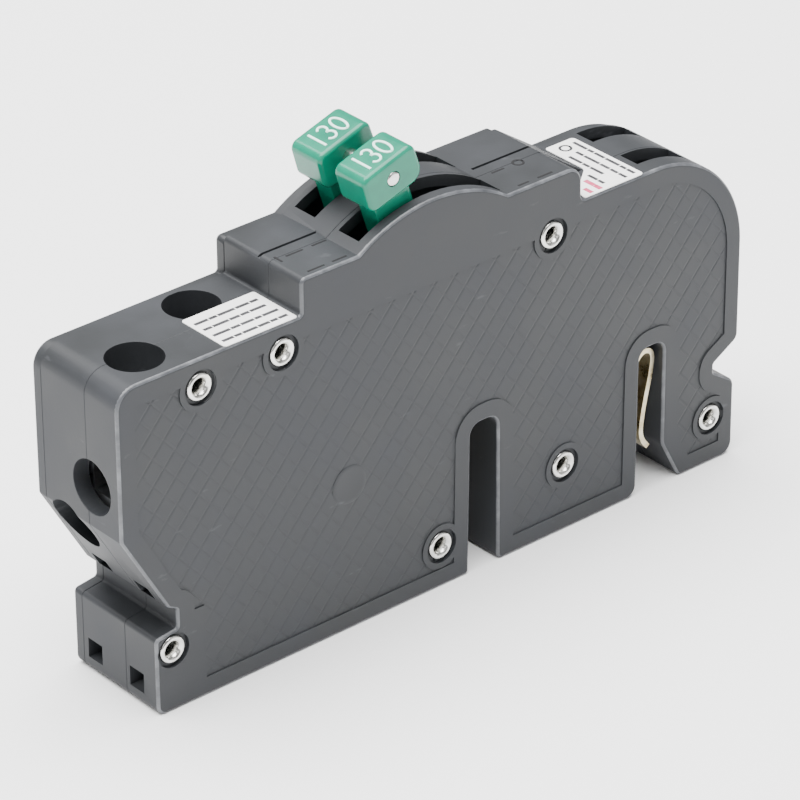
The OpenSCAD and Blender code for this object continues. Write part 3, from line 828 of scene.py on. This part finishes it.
class BREAKER_OT_case_marks(bpy.types.Operator):
    """Add the dark shoulder marks and the round gate mark on the near side"""

    bl_idname = "breaker.case_marks"
    bl_label = "Case marks"

    def execute(self, context):
        bm = bmesh.new()
        for stroke in SHOULDER_MARKS:
            ribbon(bm, stroke, 0.4, 0.03, lambda x, y, h: (x, y, SHOULDER + h))
        place(add_piece("shoulder_marks", bm), "case",
              material("dark_position_mark"))
        bm = bmesh.new()
        profile = [(0, -0.05), (3.1, -0.05), (3.1, 0.02), (2.95, 0.09), (2.5, 0.12), (2.3, 0.07),
                   (0, 0.07)]
        revolve(bm, profile, (GATE_AT[0], NEAR_FACE + PANEL_DEPTH, GATE_AT[1]), (0, -1, 0), 48)
        gate = add_piece("gate_mark", bm)
        shade(gate, 50)
        place(gate, "case", material("satin_moulded_phenolic"))
        return {"FINISHED"}


# ---- stage ----

LIGHT_AIM = (0, 0, 0.03)
LIGHTS = (  # name, place in metres, size in metres and power in watts
    ("overhead", (-0.1, 0.1, 1.1), 1.4, 68),
    ("key", (-0.9, -0.6, 0.6), 0.5, 0.9),
    ("fill", (0.6, -0.9, 0.4), 0.7, 1.2),
)
CAMERA_AZIMUTH, CAMERA_ELEVATION, CAMERA_ROLL = -40.54, 29.93, -0.324
CAMERA_LENS, CAMERA_DISTANCE = 216.54, 0.6966  # millimetres, metres
CAMERA_TARGET = (-0.51, 0, 27.13)


class StageSettings(bpy.types.PropertyGroup):
    floor_colour: bpy.props.StringProperty(
        name="Floor colour", description="Hex colour of the floor", default="fbfbfb")


class BREAKER_OT_stage(bpy.types.Operator):
    """Lay the pale floor, hang the soft lights and set the camera"""

    bl_idname = "breaker.stage"
    bl_label = "Stage"

    def execute(self, context):
        bm = bmesh.new()
        bmesh.ops.create_grid(bm, x_segments=1, y_segments=1, size=3)
        floor = add_piece("floor", bm)
        floor.location.z = -0.00002
        floor.data.materials.append(
            finish_material("matte_paper_sweep",
                            (context.scene.breaker_stage.floor_colour, "fdfdfd"),
                            (0.85, 0.95), 200, 2, 0.005))
        world = bpy.data.worlds.new("soft_room")
        context.scene.world = world
        world.use_nodes = True
        background = world.node_tree.nodes["Background"]
        background.inputs["Color"].default_value = srgb("ffffff")
        background.inputs["Strength"].default_value = 0.4
        for name, at, size, power in LIGHTS:
            light = bpy.data.lights.new(name, "AREA")
            light.energy = power
            light.size = size
            lamp = bpy.data.objects.new(name, light)
            lamp.location = at
            aim = Vector(LIGHT_AIM) - Vector(at)
            lamp.rotation_euler = aim.to_track_quat("-Z", "Y").to_euler()
            context.scene.collection.objects.link(lamp)
        azimuth, elevation = math.radians(CAMERA_AZIMUTH), math.radians(CAMERA_ELEVATION)
        roll = math.radians(CAMERA_ROLL)
        back = Vector((math.sin(azimuth) * math.cos(elevation),
                       -math.cos(azimuth) * math.cos(elevation), math.sin(elevation)))
        right = Vector((0, 0, 1)).cross(back).normalized()
        up = back.cross(right)
        right, up = (right * math.cos(roll) + up * math.sin(roll),
                     up * math.cos(roll) - right * math.sin(roll))
        camera = bpy.data.cameras.new("camera")
        camera.lens = CAMERA_LENS
        camera.sensor_width = 36
        camera.clip_end = 10
        view = bpy.data.objects.new("camera", camera)
        target = Vector(CAMERA_TARGET) * MM
        turn = Matrix((right, up, back)).transposed()
        view.matrix_world = Matrix.Translation(target + back * CAMERA_DISTANCE) @ turn.to_4x4()
        context.scene.collection.objects.link(view)
        context.scene.camera = view
        return {"FINISHED"}


class BREAKER_PT_panel(bpy.types.Panel):
    bl_label = "Breaker"
    bl_space_type = "VIEW_3D"
    bl_region_type = "UI"
    bl_category = "Breaker"

    def draw(self, context):
        for operator in OPERATORS:
            self.layout.operator(operator.bl_idname)
        for group in SETTINGS:
            settings = getattr(context.scene, group)
            for key in settings.bl_rna.properties.keys():
                if key not in ("rna_type", "name"):
                    self.layout.prop(settings, key)


SETTINGS = {
    "breaker_shells": ShellSettings,
    "breaker_handles": HandleSettings,
    "breaker_stage": StageSettings,
}
OPERATORS = (BREAKER_OT_shells, BREAKER_OT_inner_parts, BREAKER_OT_rivets, BREAKER_OT_handles,
             BREAKER_OT_tie_pin, BREAKER_OT_labels, BREAKER_OT_case_marks, BREAKER_OT_stage)


def register():
    for name, settings in SETTINGS.items():
        bpy.utils.register_class(settings)
        setattr(bpy.types.Scene, name, bpy.props.PointerProperty(type=settings))
    for operator in OPERATORS:
        bpy.utils.register_class(operator)
    bpy.utils.register_class(BREAKER_PT_panel)


def unregister():
    bpy.utils.unregister_class(BREAKER_PT_panel)
    for operator in reversed(OPERATORS):
        bpy.utils.unregister_class(operator)
    for name, settings in SETTINGS.items():
        delattr(bpy.types.Scene, name)
        bpy.utils.unregister_class(settings)


def main():
    register()
    for operator in OPERATORS:
        group, name = operator.bl_idname.split(".")
        getattr(getattr(bpy.ops, group), name)()


if __name__ == "__main__":
    main()
